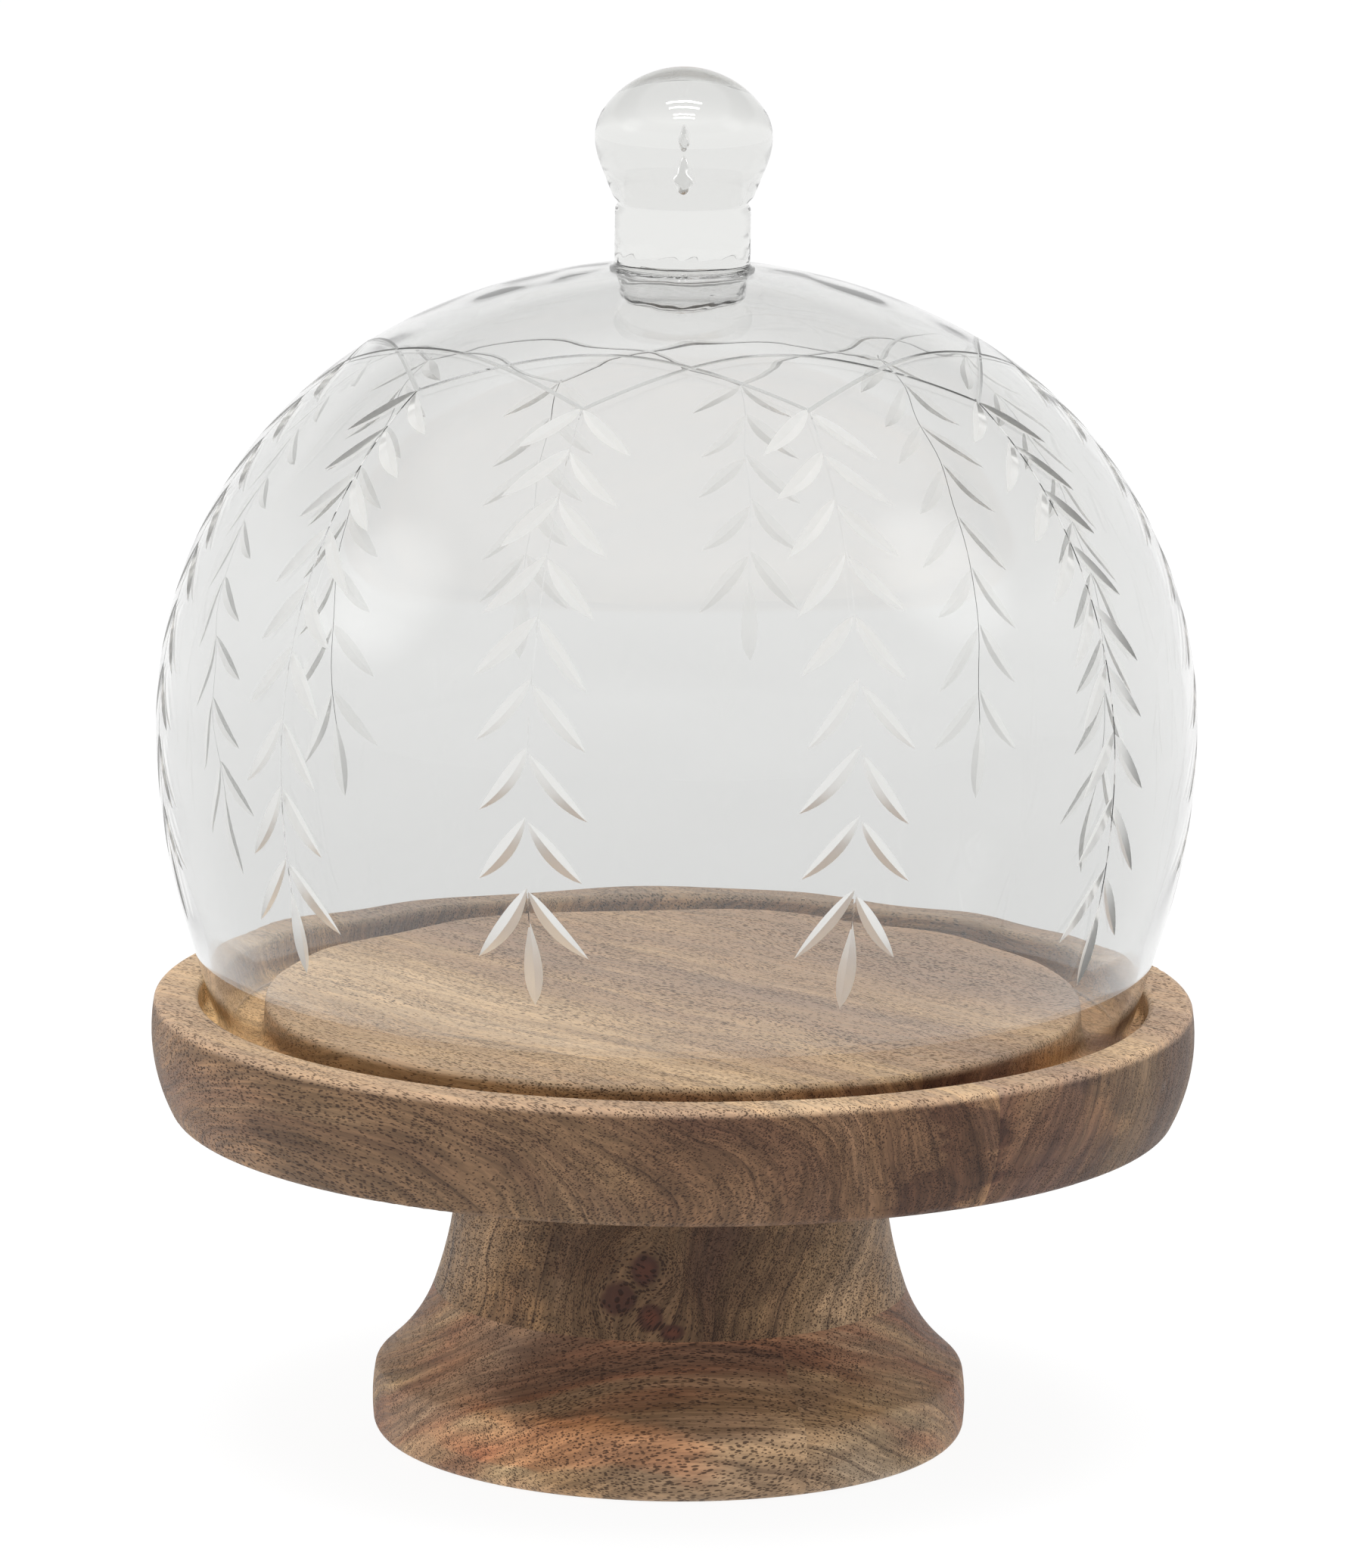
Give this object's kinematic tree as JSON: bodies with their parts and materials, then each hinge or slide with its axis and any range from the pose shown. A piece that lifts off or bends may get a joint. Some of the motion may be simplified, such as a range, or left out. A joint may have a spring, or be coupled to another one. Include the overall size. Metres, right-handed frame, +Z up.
{
  "type": "cheese dome",
  "caption": "Bulbous clear glass cover with a solid knob and cut leaf garlands, resting in the ring groove of a turned wooden pedestal plate; the cover lifts straight off.",
  "frame": {"origin": "centre of the underside, on the surface the object stands on", "axes": "+Z up along the turning axis of the stand and the glass, -Y towards the front"},
  "size_m": [0.28, 0.28, 0.3703],
  "materials": {
    "clear_glass": "polished clear glass with wheel-cut decoration",
    "plate_wood": "oiled satin hardwood, dark streaks",
    "neck_wood": "oiled satin hardwood, end grain with small knots",
    "foot_wood": "oiled satin hardwood",
    "bolt_steel": "zinc-plated",
    "insert_brass": "plain",
    "pad_felt": "felt"
  },
  "bodies": {
    "stand": {"plate_board_1": "plate_wood", "plate_board_2": "plate_wood", "plate_board_3": "plate_wood", "plate_board_4": "plate_wood", "neck_block": "neck_wood", "foot_board_1": "foot_wood", "foot_board_2": "foot_wood", "hanger_bolt": "bolt_steel", "threaded_insert": "insert_brass", "felt_pads": "pad_felt"},
    "dome": {"glass_dome": "clear_glass", "glass_knob": "clear_glass"}
  },
  "joints": [
    {"name": "dome_lift", "type": "slide", "parent": "stand", "child": "dome", "axis": [0, 0, 1], "range_m": [0, 0.25]}
  ]
}
